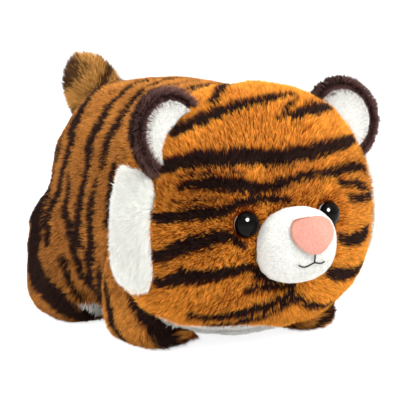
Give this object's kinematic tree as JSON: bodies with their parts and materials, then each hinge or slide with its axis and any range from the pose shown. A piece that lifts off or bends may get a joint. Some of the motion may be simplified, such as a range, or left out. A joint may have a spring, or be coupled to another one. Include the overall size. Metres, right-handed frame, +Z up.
{
  "type": "plush tiger",
  "caption": "Stuffed toy tiger on short legs, with striped plush, white cheek ruffs, round ears, a domed muzzle and a stub tail.",
  "frame": {"origin": "on the floor under the middle of the toy's outline box", "axes": "+Z up, the toy faces -Y, and its left side is +X"},
  "size_m": [0.172, 0.2386, 0.1558],
  "materials": {
    "face_plush": "long pile plush, orange with dark stripes",
    "body_plush": "long pile plush, brownish orange with dark stripes",
    "white_plush": "long pile plush, white",
    "short_plush": "short velvety plush, white",
    "ear_plush": "plush, dark brown",
    "nose_plush": "short velvety cloth, pink",
    "thread": "embroidery thread, black",
    "fibre_fill": "loose polyester fibre",
    "eye_plastic": "polished",
    "washer_plastic": "as moulded"
  },
  "bodies": {
    "root": {"right_back_panel": "body_plush", "left_back_panel": "body_plush", "belly_panel": "white_plush", "body_stuffing": "fibre_fill", "right_cheek_ruff": "white_plush", "left_cheek_ruff": "white_plush", "throat_panel": "white_plush", "chin_panel": "face_plush", "right_eye": "eye_plastic", "right_eye_washer": "washer_plastic", "left_eye": "eye_plastic", "left_eye_washer": "washer_plastic", "face_panel": "face_plush", "head_stuffing": "fibre_fill", "muzzle_cover": "short_plush", "muzzle_stuffing": "fibre_fill", "nose": "nose_plush", "mouth_stitching": "thread", "right_ear_back": "ear_plush", "right_ear_front": "short_plush", "left_ear_back": "ear_plush", "left_ear_front": "short_plush", "right_front_leg": "body_plush", "right_front_leg_stuffing": "fibre_fill", "left_front_leg": "body_plush", "left_front_leg_stuffing": "fibre_fill", "right_rear_leg": "body_plush", "right_rear_leg_stuffing": "fibre_fill", "left_rear_leg": "body_plush", "left_rear_leg_stuffing": "fibre_fill", "tail_cover": "body_plush", "tail_stuffing": "fibre_fill"}
  },
  "joints": []
}
